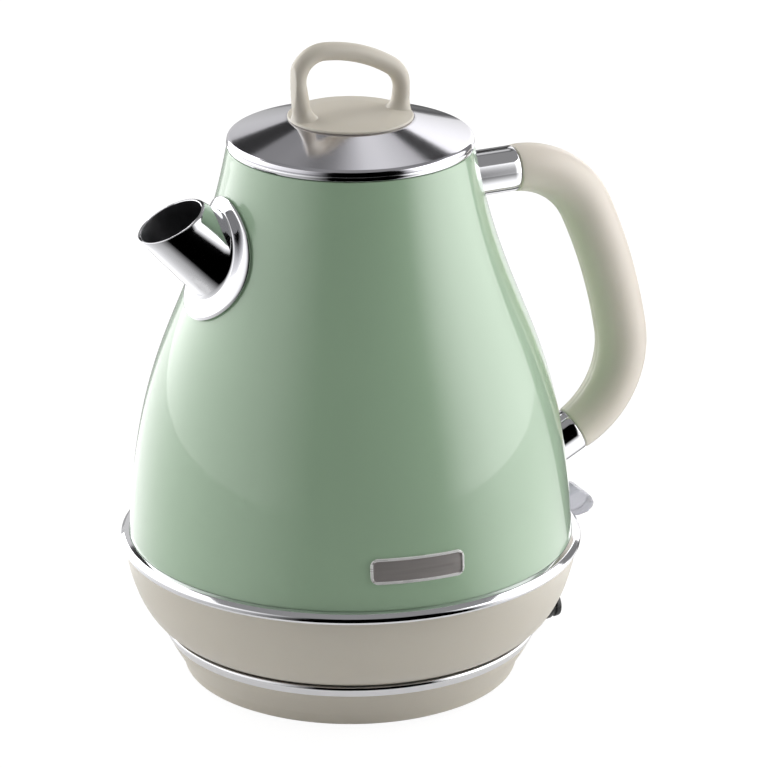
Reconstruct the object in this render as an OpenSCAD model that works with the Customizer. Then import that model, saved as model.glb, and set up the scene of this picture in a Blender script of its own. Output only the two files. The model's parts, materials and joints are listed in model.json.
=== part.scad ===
// Cordless electric kettle: conical jug on a power base, with lift-off lid.
// +Z is up, the origin is on the table under the jug's axis, +X points to the handle.

/* [Jug body] */
// Outer radius of the shell where it meets the shell ring
shell_foot_r = 83.6; // [80:0.2:84]
// Outer radius of the shell at its mouth
shell_mouth_r = 45.6; // [45:0.2:47]
// Height of the shell's lower edge above the table
shell_foot_z = 57; // [56.8:0.1:57.2]
// Height of the shell's mouth above the table
shell_mouth_z = 207.2; // [206:0.2:208]
// Thickness of the steel shell
shell_wall = 1; // [0.8:0.1:1.2]
// Outer radius of the bright ring between shell and lower housing
shell_ring_r = 87; // [86.6:0.1:88]

/* [Lower housing] */
// Outer radius of the lower housing at its top edge
bowl_top_r = 85.7; // [85.2:0.1:86]
// Outer radius of the lower housing at its bottom edge
bowl_foot_r = 70.5; // [70:0.1:71]
// Height of the lower housing's bottom edge
bowl_foot_z = 21.8; // [21.6:0.1:22]
// Height of the lower housing's top edge
bowl_top_z = 52.8; // [52.6:0.1:53]
// Wall of the moulded housings
plastic_wall = 2.2; // [1.8:0.1:2.6]

/* [Power base] */
// Height of the feet below the base
foot_h = 1.6; // [1.2:0.1:1.8]
// Radius of each foot
foot_r = 5.5; // [4:0.5:6]
// Number of feet
foot_count = 5; // [3:1:6]
// Direction of the first foot, in degrees from the handle
foot_turn = -97; // [-120:1:120]
// Height of the base cover's deck
deck_z = 17.1; // [16.8:0.1:17.2]
// Height of the base ring above the deck
base_ring_h = 4; // [3.5:0.1:4.2]
// Radius of the cord in the gland
cord_r = 3.5; // [3:0.1:3.6]
// Distance of the gland's outer end from the axis
gland_end_x = 88; // [84:1:92]

/* [Lid] */
// Radius of the knob's disc
knob_r = 23.3; // [22:0.1:24]
// Height of the knob's disc above the table
knob_z = 218; // [217.8:0.1:218.4]
// Radius of the knob's loop tube
loop_tube_r = 3.4; // [2.8:0.05:3.6]

/* [Handle] */
// Radius of the grip at its middle
grip_r = 10; // [9.6:0.1:10.4]
// Radius of the grip at both ends
grip_end_r = 8.9; // [8.8:0.1:9.4]
// Radius of the two polished ferrules
ferrule_r = 8.6; // [8.2:0.1:8.7]
// Rise of the upper ferrule, in degrees
upper_rise = 1; // [0:0.5:2]
// Bend radius of the grip's shoulder
shoulder_bend = 33.4; // [32:0.2:34]
// Bend radius of the long side of the grip
side_bend = 203; // [195:1:215]
// Bend radius of the grip's lower corner
corner_bend = 37.2; // [36:0.2:38]

/* [Spout] */
// Tilt of the spout's tube above the horizontal
spout_tilt = 41; // [39:1:43]
// Radius of the spout's collar on the shell
collar_r = 23; // [22:0.5:24]
// Outer radius of the spout's tube at its mouth
spout_mouth_r = 12.6; // [12.2:0.1:13]
// Outer radius of the spout's tube at its root
spout_root_r = 16.5; // [16:0.1:17]
// Wall of the spout
spout_wall = 1.2; // [1:0.1:1.5]

/* [Switch] */
// Width of the switch lever
lever_w = 12; // [10:0.5:13]
// Radius of the lever's pin
lever_pin_r = 1.5; // [1.4:0.1:1.6]

/* [Hidden] */
$fn = 96;

// Colours
green = [0.66, 0.79, 0.66];
cream = [0.82, 0.78, 0.70];
bright = [0.82, 0.83, 0.86];
steel = [0.70, 0.71, 0.73];
black = [0.10, 0.10, 0.11];
brass = [0.78, 0.62, 0.30];
rubber = [0.20, 0.20, 0.21];
clear = [0.75, 0.78, 0.82, 0.6];
silicone = [0.85, 0.84, 0.80];

// Curves
function bezier3(a, b, c, d, t) =
    pow(1 - t, 3) * a + 3 * t * pow(1 - t, 2) * b + 3 * t * t * (1 - t) * c + pow(t, 3) * d;
function bezier2(a, b, c, t) = pow(1 - t, 2) * a + 2 * t * (1 - t) * b + t * t * c;
function steps(n) = [for (i = [0:n]) i / n];
function backwards(points) = [for (i = [len(points) - 1:-1:0]) points[i]];
function inset(points, d) = [for (p = points) [p[0] - d, p[1]]];

// A path in the XZ plane: heading is the angle above +X, and bends turn clockwise
function ahead(a) = [cos(a), sin(a)];
function rightOf(a) = [sin(a), -cos(a)];
function bendCentre(p, r, a) = p + r * rightOf(a);
function bendEnd(p, r, a, b) = bendCentre(p, r, a) - r * rightOf(b);
function bendStations(p, r, a, b, n) =
    [for (i = [0:n]) let (h = a + (b - a) * i / n) [bendEnd(p, r, a, h), h]];

// Rings of points around the stations of a path, one radius each, from angle s to angle e
function sectionPoints(stations, radii, sides, s, e) = [for (j = [0:len(stations) - 1], i = [0:sides - 1])
    let (q = stations[j], t = s + (e - s) * i / (e - s < 360 ? sides - 1 : sides), n = -rightOf(q[1]))
    [q[0][0] + radii[j] * cos(t) * n[0], radii[j] * sin(t), q[0][1] + radii[j] * cos(t) * n[1]]];
function sectionFaces(count, sides) = concat(
    [[for (i = [0:sides - 1]) sides - 1 - i]],
    [[for (i = [0:sides - 1]) (count - 1) * sides + i]],
    [for (j = [0:count - 2], i = [0:sides - 1]) let (k = (i + 1) % sides)
        [j * sides + i, j * sides + k, (j + 1) * sides + k]],
    [for (j = [0:count - 2], i = [0:sides - 1]) let (k = (i + 1) % sides)
        [j * sides + i, (j + 1) * sides + k, (j + 1) * sides + i]]);

// Outlines in radius and height
shell_outline = [for (t = steps(20)) bezier3([shell_foot_r, shell_foot_z],
    [shell_foot_r - 4.3, shell_foot_z + 82], [shell_mouth_r + 12.8, shell_mouth_z - 68.3],
    [shell_mouth_r, shell_mouth_z], t)];
bowl_outline = [for (t = steps(12)) bezier2([bowl_foot_r, bowl_foot_z],
    [bowl_top_r - 3.7, bowl_foot_z + 7], [bowl_top_r, bowl_top_z], t)];
lid_outline = concat([for (t = steps(6)) bezier2([shell_mouth_r - 0.1, shell_mouth_z + 2],
    [shell_mouth_r - 0.5, shell_mouth_z + 4], [shell_mouth_r - 3.1, shell_mouth_z + 4.8], t)],
    [[knob_r, knob_z]]);

// Shell skirt inside the shell ring, and the lip that the lid's seal meets
skirt_r = shell_foot_r - 0.4;
skirt_z = bowl_top_z + 0.4;
lip_r = 41.5;
lip_z = shell_mouth_z - 2;

// Boiler
plate_z = shell_foot_z + 1;
plate_t = 1.2;
spreader_r = 60;
spreader_t = 2;
spreader_z = plate_z - spreader_t;
element_r = 48;
element_w = 7;
element_h = 6;
element_arc = 320;
element_z = spreader_z - element_h;
tail_r = 1.6;
tail_len = 12;
disc_x = [-11, 9];

// Steam switch at the handle's side
steam_tube_x = 39;
steam_tube_r = 3.5;
steam_tube_top = 176;
thermostat_x = 34;
thermostat_l = 22;
thermostat_w = 26;
thermostat_z = 38;

// Connector on the axis
socket_r = 21;
socket_z = 22.6;
hub_r = 9;
hub_z = 33;
hub_clear = 0.4;
socket_top = 39;
neutral_r = 4.2;
earth_r = 7.1;

// Switch
pivot_x = 74;
pivot_z = 52.6;
trip_x = 62.5;
trip_z = 48.4;
trip_pin_r = 1.2;
pin_clear = 0.08;
notch_w = lever_w + 2;

// Base
deck_in_r = 66.4;
base_ring_r = deck_in_r + 3.6;
floor_t = 1.8;
floor_r = 57.5;
foot_ring_r = 51;
boss_ring_r = 40;
screw_r = 1.4;
gland_z = 9.4;

base_outline = [[floor_r + 0.3, foot_h], [59.4, foot_h], [61.8, foot_h + 0.9], [63.1, foot_h + 2.6],
    [64.1, foot_h + 5.2], [68.5, foot_h + 13], [69.4, deck_z - 0.8], [69.6, deck_z]];

// Locating skirt of the jug's underside cover
skirt_in_r = 59;
skirt_out_r = 62;

// Spout: the collar's centre on the shell and its tilt, and the mouth
collar_c = [-51.5, 169.4];
collar_tilt = 20;
spout_len = 27;
root_len = spout_len + 8;
root_c = collar_c - 8 * ahead(180 - spout_tilt);
mouth_c = collar_c + spout_len * ahead(180 - spout_tilt);
mouth_tilt = 62.5;
gasket_t = 0.6;

// Filter
filter_x = -43;
filter_t = 2.5;
filter_w = 28;
filter_h = 42;
filter_z = 146;

// Handle path
upper_start = [46, shell_mouth_z - 17.7];
upper_len = 20.5;
side_heading = -65.3;
corner_heading = -80;
lower_heading = -152;
grip_a = upper_start + upper_len * ahead(upper_rise);
grip_b = bendEnd(grip_a, shoulder_bend, upper_rise, side_heading);
grip_c = bendEnd(grip_b, side_bend, side_heading, corner_heading);
grip_d = bendEnd(grip_c, corner_bend, corner_heading, lower_heading);
spigot_r = 5;
spigot_len = 8;
lower_len = 22;
taper_share = 0.3;

// Knob loop path
loop_start = [-18.7, knob_z];
loop_up = 99.5;
loop_top = -2;
loop_far = -32.5;
loop_down = -95.5;
loop_leg = 14.1;
loop_foot = 9.3;
loop_bend_a = 10.4;
loop_bend_b = 52;
loop_bend_c = 10.4;
loop_a = loop_start + loop_leg * ahead(loop_up);
loop_b = bendEnd(loop_a, loop_bend_a, loop_up, loop_top);
loop_c = bendEnd(loop_b, loop_bend_b, loop_top, loop_far);
loop_d = bendEnd(loop_c, loop_bend_c, loop_far, loop_down);
loop_screw_x = [-19.1, 20];

// Lid plug
plug_r = 38;
plug_z = 200;
seal_r = 41.2;

module ring(r_out, r_in, z, h) {
    translate([0, 0, z]) difference() {
        cylinder(r = r_out, h = h);
        translate([0, 0, -1]) cylinder(r = r_in, h = h + 2);
    }
}

module turned(points) {
    rotate_extrude() polygon(points);
}

module around(count, r, start = 0) {
    for (i = [0:count - 1]) rotate([0, 0, start + i * 360 / count]) translate([r, 0, 0]) children();
}

// A cylinder from p along a heading in the XZ plane
module rod(p, a, len, r, r_end = -1) {
    translate([p[0], 0, p[1]]) rotate([0, 90 - a, 0])
        cylinder(r1 = r, r2 = r_end < 0 ? r : r_end, h = len);
}

// A round bar swept along the stations, or the half of it between two angles
module swept(stations, radii, sides, s = 0, e = 360) {
    polyhedron(points = sectionPoints(stations, radii, sides, s, e),
        faces = sectionFaces(len(stations), sides));
}

// Everything within the shell's outer or inner surface
module shellSpace(d) {
    turned(concat([[0, shell_foot_z]], inset(shell_outline, d), [[0, shell_mouth_z]]));
}

// A countersunk screw, head down, with its shaft upwards
module screw(head_r, r, len) {
    cylinder(r1 = head_r, r2 = r, h = head_r - r);
    translate([0, 0, head_r - r]) cylinder(r = r, h = len);
}

// ---- Jug ----

module body_shell() {
    color(green) difference() {
        turned(concat([[skirt_r, skirt_z], [skirt_r, shell_foot_z - 0.05]], shell_outline,
            [[lip_r, shell_mouth_z - 1], [lip_r, lip_z]],
            [[shell_mouth_r - shell_wall + 0.6, lip_z]],
            backwards([for (p = inset(shell_outline, shell_wall)) if (p[1] < lip_z - 1) p]),
            [[skirt_r - shell_wall, skirt_z]]));
        rod(root_c - 14 * ahead(180 - spout_tilt), 180 - spout_tilt, 60, spout_root_r - spout_wall - 0.3);
        rod(upper_start - 10 * ahead(upper_rise), upper_rise, 20, screw_r + 0.6);
        rod(grip_d + 26 * ahead(lower_heading), lower_heading + 180, 20, screw_r + 0.6);
        leverNotch(skirt_z - 1, 4);
    }
}

module leverNotch(z, h) {
    translate([70, -notch_w / 2, z]) cube([25, notch_w, h]);
}

module shell_ring() {
    color(bright) difference() {
        turned([[shell_foot_r - 0.2, bowl_top_z], [86.4, bowl_top_z], [shell_ring_r - 0.1, bowl_top_z + 1],
            [shell_ring_r, bowl_top_z + 1.9], [shell_ring_r - 0.4, bowl_top_z + 2.8],
            [shell_ring_r - 1.4, bowl_top_z + 3.7], [shell_foot_r + 0.1, bowl_top_z + 4.1],
            [shell_foot_r - 0.2, bowl_top_z + 4]]);
        leverNotch(bowl_top_z - 1, 6);
    }
}

module badge_plate() {
    color(bright) intersection() {
        difference() {
            shellSpace(-0.9);
            shellSpace(0);
        }
        rotate([0, 0, -96.6]) translate([60, 0, 71.9]) rotate([0, 90, 0])
            linear_extrude(40) roundedRect(9.8, 36, 3.2);
    }
}

module roundedRect(a, b, r) {
    for (x = [-1, 1], y = [-1, 1])
        translate([x * (a / 2 - r), y * (b / 2 - r)]) circle(r = r);
    square([a, b - 2 * r], center = true);
    square([a - 2 * r, b], center = true);
}

module boiler_plate() {
    color(steel) difference() {
        union() {
            translate([0, 0, plate_z]) cylinder(r = 81, h = plate_t);
            ring(82.1, 80.8, plate_z - 2.8, 4);
        }
        translate([steam_tube_x, 0, plate_z - 1]) cylinder(r = steam_tube_r, h = plate_t + 2);
    }
}

module plate_seal() {
    color(silicone) ring(80.6, 77, plate_z - 3, 3);
}

module heat_spreader() {
    color([0.8, 0.8, 0.8]) difference() {
        translate([0, 0, spreader_z]) cylinder(r = spreader_r, h = spreader_t);
        translate([steam_tube_x, 0, spreader_z - 1]) cylinder(r = steam_tube_r + 1.2, h = spreader_t + 2);
    }
}

module heating_element() {
    color(steel) rotate([0, 0, 180 - element_arc / 2]) translate([0, 0, element_z])
        rotate_extrude(angle = element_arc) translate([element_r - element_w / 2, 0])
            square([element_w, element_h]);
}

module element_tails() {
    color(steel) for (s = [-1, 1]) rotate([0, 0, s * (180 - element_arc / 2 + 4)])
        translate([element_r, 0, element_z - tail_len]) cylinder(r = tail_r, h = tail_len);
}

module control_unit() {
    color(black) difference() {
        union() {
            translate([-22, -20, socket_top]) cube([42, 40, spreader_z - socket_top - 0.6]);
            for (y = [-24, 24]) translate([-4, y, 44]) cylinder(r = 5, h = spreader_z - 44);
        }
        translate([0, 0, socket_top - 1]) cylinder(r = hub_r + 1.2, h = 4);
        for (x = disc_x) translate([x, 0, spreader_z - 2.6]) cylinder(r = 8.4, h = 3);
    }
}

module bimetal_discs() {
    color(brass) for (x = disc_x) translate([x, 0, spreader_z - 2.6]) cylinder(r = 7.5, h = 0.8);
}

module jug_socket() {
    color(black) difference() {
        translate([0, 0, socket_z]) cylinder(r = socket_r, h = socket_top - socket_z);
        translate([0, 0, socket_z - 1]) cylinder(r = hub_r + hub_clear, h = 30);
        translate([0, 0, socket_z - 1]) cylinder(r1 = hub_r + 4, r2 = hub_r, h = 4);
    }
}

// Three legs that hang from a bar into the hub's slots, on the axis and beside both contact rings
module socket_contacts() {
    color(brass) {
        translate([-hub_r - 0.7, -1.6, socket_top]) cube([2 * hub_r + 1.4, 3.2, 1.2]);
        translate([-0.5, -0.5, 29.6]) cube([1, 1, socket_top - 29]);
        translate([-neutral_r - 0.3, -0.5, 28.6]) cube([0.6, 1, socket_top - 28]);
        translate([earth_r - 0.3, -0.5, 31]) cube([0.6, 1, socket_top - 30.4]);
    }
}

module steam_tube() {
    color(steel) translate([steam_tube_x, 0, 52]) difference() {
        cylinder(r = steam_tube_r, h = steam_tube_top - 52);
        translate([0, 0, -1]) cylinder(r = steam_tube_r - 0.8, h = steam_tube_top - 50);
    }
}

module steam_thermostat() {
    color(black) difference() {
        translate([thermostat_x - 8, -thermostat_w / 2, thermostat_z])
            cube([thermostat_l, thermostat_w, 13.4]);
        translate([steam_tube_x, 0, thermostat_z + 9.4]) cylinder(r = steam_tube_r + 0.6, h = 5);
    }
}

module indicator_lamp() {
    color([0.9, 0.5, 0.2]) translate([66, 11.4, 45.5]) rotate([0, 90, 0]) cylinder(r = 2, h = 9);
}

module lever_bracket() {
    color(black) {
        for (s = [-1, 1]) difference() {
            translate([pivot_x - 13.2, s * (lever_w / 2 + 1.6) - 1, 42.6]) cube([17, 2, 12]);
            translate([pivot_x, 0, pivot_z]) rotate([90, 0, 0])
                cylinder(r = lever_pin_r, h = 40, center = true);
            translate([trip_x, 0, trip_z]) rotate([90, 0, 0])
                cylinder(r = trip_pin_r, h = 40, center = true);
        }
        translate([thermostat_x + 14, -lever_w / 2 - 2.6, 40]) cube([27, lever_w + 5.2, 2.6]);
    }
}

module lever_pin() {
    color(steel) translate([pivot_x, 0, pivot_z]) rotate([90, 0, 0])
        cylinder(r = lever_pin_r, h = lever_w + 5.6, center = true);
}

module trip_pin() {
    color(steel) translate([trip_x, 0, trip_z]) rotate([90, 0, 0])
        cylinder(r = trip_pin_r, h = lever_w + 5.6, center = true);
}

module lower_housing() {
    color(cream) difference() {
        turned(concat([[bowl_foot_r - 3.4, bowl_foot_z]], bowl_outline,
            backwards([for (p = inset(bowl_outline, plastic_wall)) if (p[1] > bowl_foot_z + 2.4) p]),
            [[bowl_foot_r + 0.9, bowl_foot_z + 2.4], [bowl_foot_r - 3.4, bowl_foot_z + 2.4]]));
        leverNotch(47, 7);
    }
}

module underside_cover() {
    color(cream) difference() {
        union() {
            ring(bowl_foot_r - 3.6, socket_r + 0.3, bowl_foot_z + 0.2, plastic_wall);
            ring(skirt_out_r, skirt_in_r, deck_z + 0.3, bowl_foot_z - deck_z);
            ring(bowl_foot_r - 1, bowl_foot_r - 5, bowl_foot_z + 2.4, 1.8);
            around(3, 48, 45) translate([0, 0, bowl_foot_z + 2]) cylinder(r = 4, h = 22);
        }
        around(3, 48, 45) {
            translate([0, 0, bowl_foot_z - 1]) cylinder(r1 = 4, r2 = screw_r + 0.1, h = 2.6);
            translate([0, 0, bowl_foot_z]) cylinder(r = screw_r + 0.1, h = 30);
        }
    }
}

module cover_screws() {
    color(steel) around(3, 48, 45) translate([0, 0, bowl_foot_z + 0.4]) screw(2.6, screw_r, 14);
}

// ---- Spout and filter ----

module spoutPlane() {
    translate([mouth_c[0], 0, mouth_c[1]]) rotate([0, mouth_tilt - 90, 0])
        translate([-60, -60, 0]) cube([120, 120, 60]);
}

module spoutTube(d) {
    rod(root_c, 180 - spout_tilt, 2 * root_len, spout_root_r - d, 2 * spout_mouth_r - spout_root_r - d);
}

module spout() {
    color(bright) difference() {
        union() {
            difference() {
                spoutTube(0);
                spoutPlane();
            }
            rod(collar_c - 4 * ahead(180 - collar_tilt), 180 - collar_tilt, 8.6, collar_r, collar_r - 4.2);
        }
        shellSpace(-gasket_t);
        spoutTube(spout_wall);
        rod(root_c - 14 * ahead(180 - spout_tilt), 180 - spout_tilt, 16, spout_root_r - spout_wall);
    }
}

module spout_gasket() {
    color(silicone) difference() {
        intersection() {
            rod(collar_c - 20 * ahead(180 - collar_tilt), 180 - collar_tilt, 40, collar_r - 0.8);
            shellSpace(-gasket_t);
            translate([-90, -40, 120]) cube([70, 80, 80]);
        }
        shellSpace(0);
        rod(root_c - 14 * ahead(180 - spout_tilt), 180 - spout_tilt, 60, spout_root_r - spout_wall);
    }
}

module filter_guide() {
    color(steel) intersection() {
        difference() {
            translate([-58, -filter_w / 2 - 2.4, filter_z - 1.8]) cube([19, filter_w + 4.8, 38]);
            translate([-60, -filter_w / 2 + 1.6, filter_z - 4]) cube([30, filter_w - 3.2, 44]);
            translate([filter_x - 0.3, -filter_w / 2 - 0.4, filter_z - 0.4])
                cube([filter_t + 0.6, filter_w + 0.8, 50]);
        }
        shellSpace(shell_wall + 0.1);
    }
}

module filter_frame() {
    color(cream) difference() {
        translate([filter_x, -filter_w / 2, filter_z]) cube([filter_t, filter_w, filter_h]);
        translate([filter_x - 1, -filter_w / 2 + 3, filter_z + 3])
            cube([filter_t + 2, filter_w - 6, filter_h - 10]);
    }
}

module filter_mesh() {
    color(steel) difference() {
        translate([filter_x + 0.9, -filter_w / 2 + 3, filter_z + 3]) cube([0.6, filter_w - 6, filter_h - 10]);
        for (y = [-2:2], z = [0:6]) translate([filter_x, y * 4.2 - 1.5, filter_z + 4.4 + z * 4.2])
            cube([3, 3, 3]);
    }
}

// ---- Handle ----

module ferrule_upper() {
    color(bright) difference() {
        union() {
            rod(upper_start - 6 * ahead(upper_rise), upper_rise, upper_len + 6, ferrule_r);
            rod(grip_a - 2 * ahead(upper_rise), upper_rise, spigot_len + 2, spigot_r);
        }
        shellSpace(0);
        rod(upper_start - 10 * ahead(upper_rise), upper_rise, 26, screw_r);
    }
}

module ferrule_lower() {
    color(bright) difference() {
        union() {
            rod(grip_d + lower_len * ahead(lower_heading), lower_heading + 180, lower_len, ferrule_r);
            rod(grip_d + 2 * ahead(lower_heading), lower_heading + 180, spigot_len, spigot_r);
        }
        shellSpace(0);
        rod(grip_d + 30 * ahead(lower_heading), lower_heading + 180, 32, screw_r);
    }
}

grip_stations = concat(bendStations(grip_a, shoulder_bend, upper_rise, side_heading, 14),
    [for (q = bendStations(grip_b, side_bend, side_heading, corner_heading, 6)) if (q[1] < side_heading) q],
    [for (q = bendStations(grip_c, corner_bend, corner_heading, lower_heading, 14))
        if (q[1] < corner_heading) q]);

// The grip's radius at each station, smaller towards both ends
grip_radii = [for (j = [0:len(grip_stations) - 1])
    let (f = j / (len(grip_stations) - 1), g = max(0, 1 - min(f, 1 - f) / taper_share))
    grip_r + (grip_end_r - grip_r) * g * g];

// Half of the grip, to one side of its seam
module gripHalf(s) {
    difference() {
        swept(grip_stations, grip_radii, 15, s, s + 180);
        rod(grip_a - 1 * ahead(upper_rise), upper_rise, spigot_len + 2, spigot_r + 0.1);
        rod(grip_d + 1 * ahead(lower_heading), lower_heading + 180, spigot_len + 1, spigot_r + 0.1);
    }
}

module grip_left() {
    color(cream) gripHalf(0);
}

module grip_right() {
    color(cream) gripHalf(180);
}

// ---- Switch ----

// The lever's side outline, from its inner end to the paddle outside the ring
lever_outline = [[pivot_x - 6, 51.2], [84, 51.2], [87.4, 50.6], [89.4, 48.4], [91.4, 47.4], [94.4, 47.2],
    [98, 48], [100, 49.8], [100.6, 51.6], [99.4, 54.2], [96.4, 57], [94.2, 57.8], [91.3, 57.6],
    [88.2, 55.8], [86, 54.6], [pivot_x + 3, 54.6], [pivot_x, 55.4], [pivot_x - 6, 54]];

module switch_lever() {
    color(clear) difference() {
        translate([0, lever_w / 2, 0]) rotate([90, 0, 0]) linear_extrude(lever_w) polygon(lever_outline);
        translate([pivot_x, 0, pivot_z]) rotate([90, 0, 0])
            cylinder(r = lever_pin_r + pin_clear, h = 40, center = true);
    }
}

module trip_arm() {
    color(black) translate([trip_x, 0, trip_z]) difference() {
        union() {
            rotate([90, 0, 0]) cylinder(r = 2.6, h = lever_w - 2, center = true);
            translate([-8, -3, -1]) cube([16, 6, 2]);
        }
        rotate([90, 0, 0]) cylinder(r = trip_pin_r + pin_clear, h = 40, center = true);
    }
}

// Screws that clamp the ferrules to the shell from inside, each on a washer that fits the wall
upper_head = upper_start - 4.4 * ahead(upper_rise);
lower_head = grip_d + 21 * ahead(lower_heading);

module ferruleScrew(p, a) {
    rod(p, a, 2.4, 3.4);
    rod(p, a, 16, screw_r - 0.05);
}

module ferruleWasher(p, a) {
    difference() {
        rod(p + 2.4 * ahead(a), a, 8, 6);
        rod(p, a, 20, screw_r);
    }
}

module ferrule_screws() {
    color(steel) {
        ferruleScrew(upper_head, upper_rise);
        ferruleScrew(lower_head, lower_heading + 180);
    }
}

module ferrule_washers() {
    color(steel) intersection() {
        union() {
            ferruleWasher(upper_head, upper_rise);
            ferruleWasher(lower_head, lower_heading + 180);
        }
        shellSpace(shell_wall + 0.02);
    }
}

// ---- Lid ----

module lid_cone() {
    color(bright) difference() {
        turned(concat(lid_outline, [[0, knob_z], [0, knob_z - 1.2]],
            backwards([for (p = lid_outline) [p[0] - 0.9, p[1] - 1.2]])));
        for (x = loop_screw_x) translate([x, 0, knob_z - 5]) cylinder(r = screw_r + 0.2, h = 8);
    }
}

module lid_rim() {
    color(bright) turned([[plug_r + 1.4, shell_mouth_z + 0.3], [shell_mouth_r + 0.05, shell_mouth_z + 0.3],
        [shell_mouth_r + 0.05, shell_mouth_z + 1.6], [shell_mouth_r - 0.1, shell_mouth_z + 2],
        [shell_mouth_r - 1, shell_mouth_z + 0.8], [plug_r + 1.4, shell_mouth_z + 0.8]]);
}

loop_stations = concat([[loop_start, loop_up]],
    bendStations(loop_a, loop_bend_a, loop_up, loop_top, 14),
    [for (q = bendStations(loop_b, loop_bend_b, loop_top, loop_far, 6)) if (q[1] < loop_top) q],
    [for (q = bendStations(loop_c, loop_bend_c, loop_far, loop_down, 10)) if (q[1] < loop_far) q],
    [[loop_d + loop_foot * ahead(loop_down), loop_down]]);

module lid_knob() {
    color(cream) difference() {
        union() {
            turned([[0, knob_z], [knob_r - 0.3, knob_z], [knob_r, knob_z + 0.4], [knob_r - 0.1, knob_z + 0.9],
                [knob_r - 1, knob_z + 1.2], [knob_r - 8, knob_z + 1.8], [0, knob_z + 2.2]]);
            swept(loop_stations, [for (q = loop_stations) loop_tube_r], 16);
        }
        translate([-30, -30, knob_z - 20]) cube([60, 60, 20]);
        for (x = loop_screw_x) translate([x, 0, knob_z - 5]) cylinder(r = screw_r, h = 12);
    }
}

module knob_screws() {
    color(steel) for (x = loop_screw_x) translate([x, 0, knob_z - 3.2]) {
        cylinder(r = 3, h = 1.6);
        cylinder(r = screw_r, h = 9);
    }
}

module lid_plug() {
    color(steel) difference() {
        union() {
            translate([0, 0, plug_z]) cylinder(r = plug_r, h = shell_mouth_z - plug_z + 0.3);
            ring(plug_r + 1.4, 20, shell_mouth_z + 0.3, 0.5);
        }
        translate([0, 0, plug_z + 1]) cylinder(r = plug_r - 1, h = 20);
        translate([18, 0, plug_z - 1]) cylinder(r = 3, h = 4);
    }
}

module lid_seal() {
    color(silicone) turned([[plug_r, shell_mouth_z - 3.4], [seal_r - 0.6, shell_mouth_z - 2.2],
        [seal_r, shell_mouth_z - 1.6], [seal_r - 0.6, shell_mouth_z - 1], [plug_r, shell_mouth_z + 0.2]]);
}

// ---- Power base ----

module base_cover() {
    color(cream) difference() {
        union() {
            turned(concat(base_outline, [[socket_r - 3, deck_z], [socket_r - 3.6, deck_z + 1.6],
                [hub_r + 3.4, deck_z + 3.8], [hub_r + 0.4, deck_z + 3.8], [hub_r + 0.4, deck_z + 1.6],
                [socket_r - 6, deck_z - 0.4], [socket_r - 5.2, deck_z - plastic_wall],
                [deck_in_r - 1, deck_z - plastic_wall], [65.6, foot_h + 11.4], [61.8, foot_h + 5],
                [60.6, foot_h + 3], [floor_r + 0.3, foot_h + 2.2]]));
            around(3, boss_ring_r, 25) translate([0, 0, foot_h + floor_t + 0.1])
                cylinder(r = 4, h = deck_z - foot_h - floor_t - 2);
            translate([48, -12, foot_h + floor_t + 0.1]) cube([14, 24, deck_z - foot_h - floor_t - 2]);
        }
        around(3, boss_ring_r, 25) translate([0, 0, foot_h]) cylinder(r = screw_r, h = 10);
        translate([46, 0, gland_z]) rotate([0, 90, 0]) cylinder(r = 5.2, h = 30);
    }
}

module base_ring() {
    color(bright) turned([[deck_in_r, deck_z], [base_ring_r, deck_z], [base_ring_r + 0.7, deck_z + 1],
        [base_ring_r + 1.3, deck_z + 3], [base_ring_r + 1.2, deck_z + base_ring_h - 0.3],
        [base_ring_r + 0.8, deck_z + base_ring_h], [deck_in_r, deck_z + base_ring_h]]);
}

module base_floor() {
    color(black) difference() {
        translate([0, 0, foot_h]) cylinder(r = floor_r, h = floor_t);
        around(3, boss_ring_r, 25) {
            translate([0, 0, foot_h - 0.1]) cylinder(r1 = 3, r2 = screw_r + 0.1, h = 1.6);
            translate([0, 0, foot_h - 1]) cylinder(r = screw_r + 0.1, h = 5);
        }
        around(4, 24, 45) translate([0, 0, foot_h - 1]) cylinder(r = 2, h = 5);
    }
}

module base_feet() {
    color(rubber) around(foot_count, foot_ring_r, foot_turn) cylinder(r = foot_r, h = foot_h);
}

module base_screws() {
    color(steel) around(3, boss_ring_r, 25) translate([0, 0, foot_h + 0.3]) screw(2.6, screw_r - 0.05, 7);
}

module base_connector() {
    color(black) difference() {
        union() {
            translate([0, 0, foot_h + floor_t]) cylinder(r = 14, h = 9.6);
            translate([0, 0, foot_h + floor_t]) cylinder(r = hub_r, h = hub_z - foot_h - floor_t);
        }
        translate([0, 0, 8]) cylinder(r = 2.2, h = 30);
        ring(neutral_r + 1, neutral_r - 1, 8, 30);
        ring(earth_r + 0.9, earth_r - 0.9, 14, 30);
    }
}

module live_pin() {
    color(brass) translate([0, 0, 8]) cylinder(r = 1.2, h = 21);
}

module neutral_ring() {
    color(brass) ring(neutral_r + 0.3, neutral_r - 0.3, 8, 20);
}

module earth_ring() {
    color(brass) ring(earth_r + 0.35, earth_r - 0.35, 14.3, 16);
}

module cord_gland() {
    color(black) difference() {
        union() {
            translate([50, 0, gland_z]) rotate([0, 90, 0]) cylinder(r = 5, h = 20);
            difference() {
                translate([60, 0, gland_z]) rotate([0, 90, 0])
                    cylinder(r1 = 7.4, r2 = 5.2, h = gland_end_x - 60);
                turned(concat([[0, foot_h]], base_outline, [[0, deck_z]]));
            }
        }
        translate([49, 0, gland_z]) rotate([0, 90, 0]) cylinder(r = cord_r, h = 60);
    }
}

module cord_clamp() {
    color(black) difference() {
        translate([38, -9, foot_h + floor_t]) cube([8, 18, 9.4]);
        translate([30, 0, gland_z]) rotate([0, 90, 0]) cylinder(r = cord_r, h = 30);
    }
}

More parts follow.
